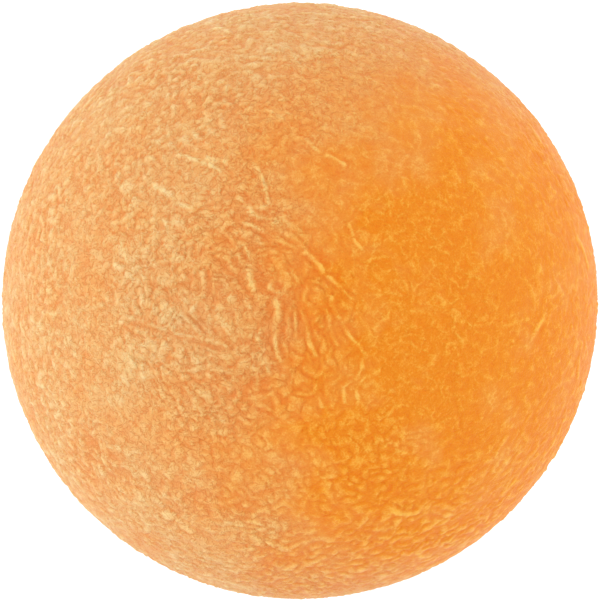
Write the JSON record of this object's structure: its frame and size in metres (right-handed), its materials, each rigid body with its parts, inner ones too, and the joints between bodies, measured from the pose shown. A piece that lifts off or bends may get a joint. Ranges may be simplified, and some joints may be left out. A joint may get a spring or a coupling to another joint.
{
  "type": "stress ball",
  "caption": "Round gel-filled stress ball with a leather-grained, translucent orange skin in two bonded halves, a small flat to rest on and a flush plug underneath.",
  "frame": {"origin": "centre of the ball", "axes": "+Z along the ball's polar axis, from the rest flat and filling port underneath to the crown; the ball is round about Z, so X and Y are interchangeable"},
  "size_m": [0.05, 0.05, 0.0494],
  "materials": {
    "skin": "satin",
    "cement": "gloss",
    "bladder": "satin",
    "gel": "gloss",
    "stopper": "satin",
    "band": "matte",
    "plug": "satin"
  },
  "bodies": {
    "base": {"lower_shell": "skin", "seam_cement": "cement", "bladder": "bladder", "gel_core": "gel", "neck_stopper": "stopper", "neck_band": "band", "port_plug": "plug", "plug_cement": "cement"},
    "crown": {"upper_shell": "skin"}
  },
  "joints": [
    {"name": "squeeze", "type": "slide", "parent": "base", "child": "crown", "axis": [0, 0, -1], "range_m": [0, 0.018], "stiffness_N_per_m": 3500, "deforming": ["upper_shell", "lower_shell", "seam_cement", "bladder", "gel_core"]}
  ]
}
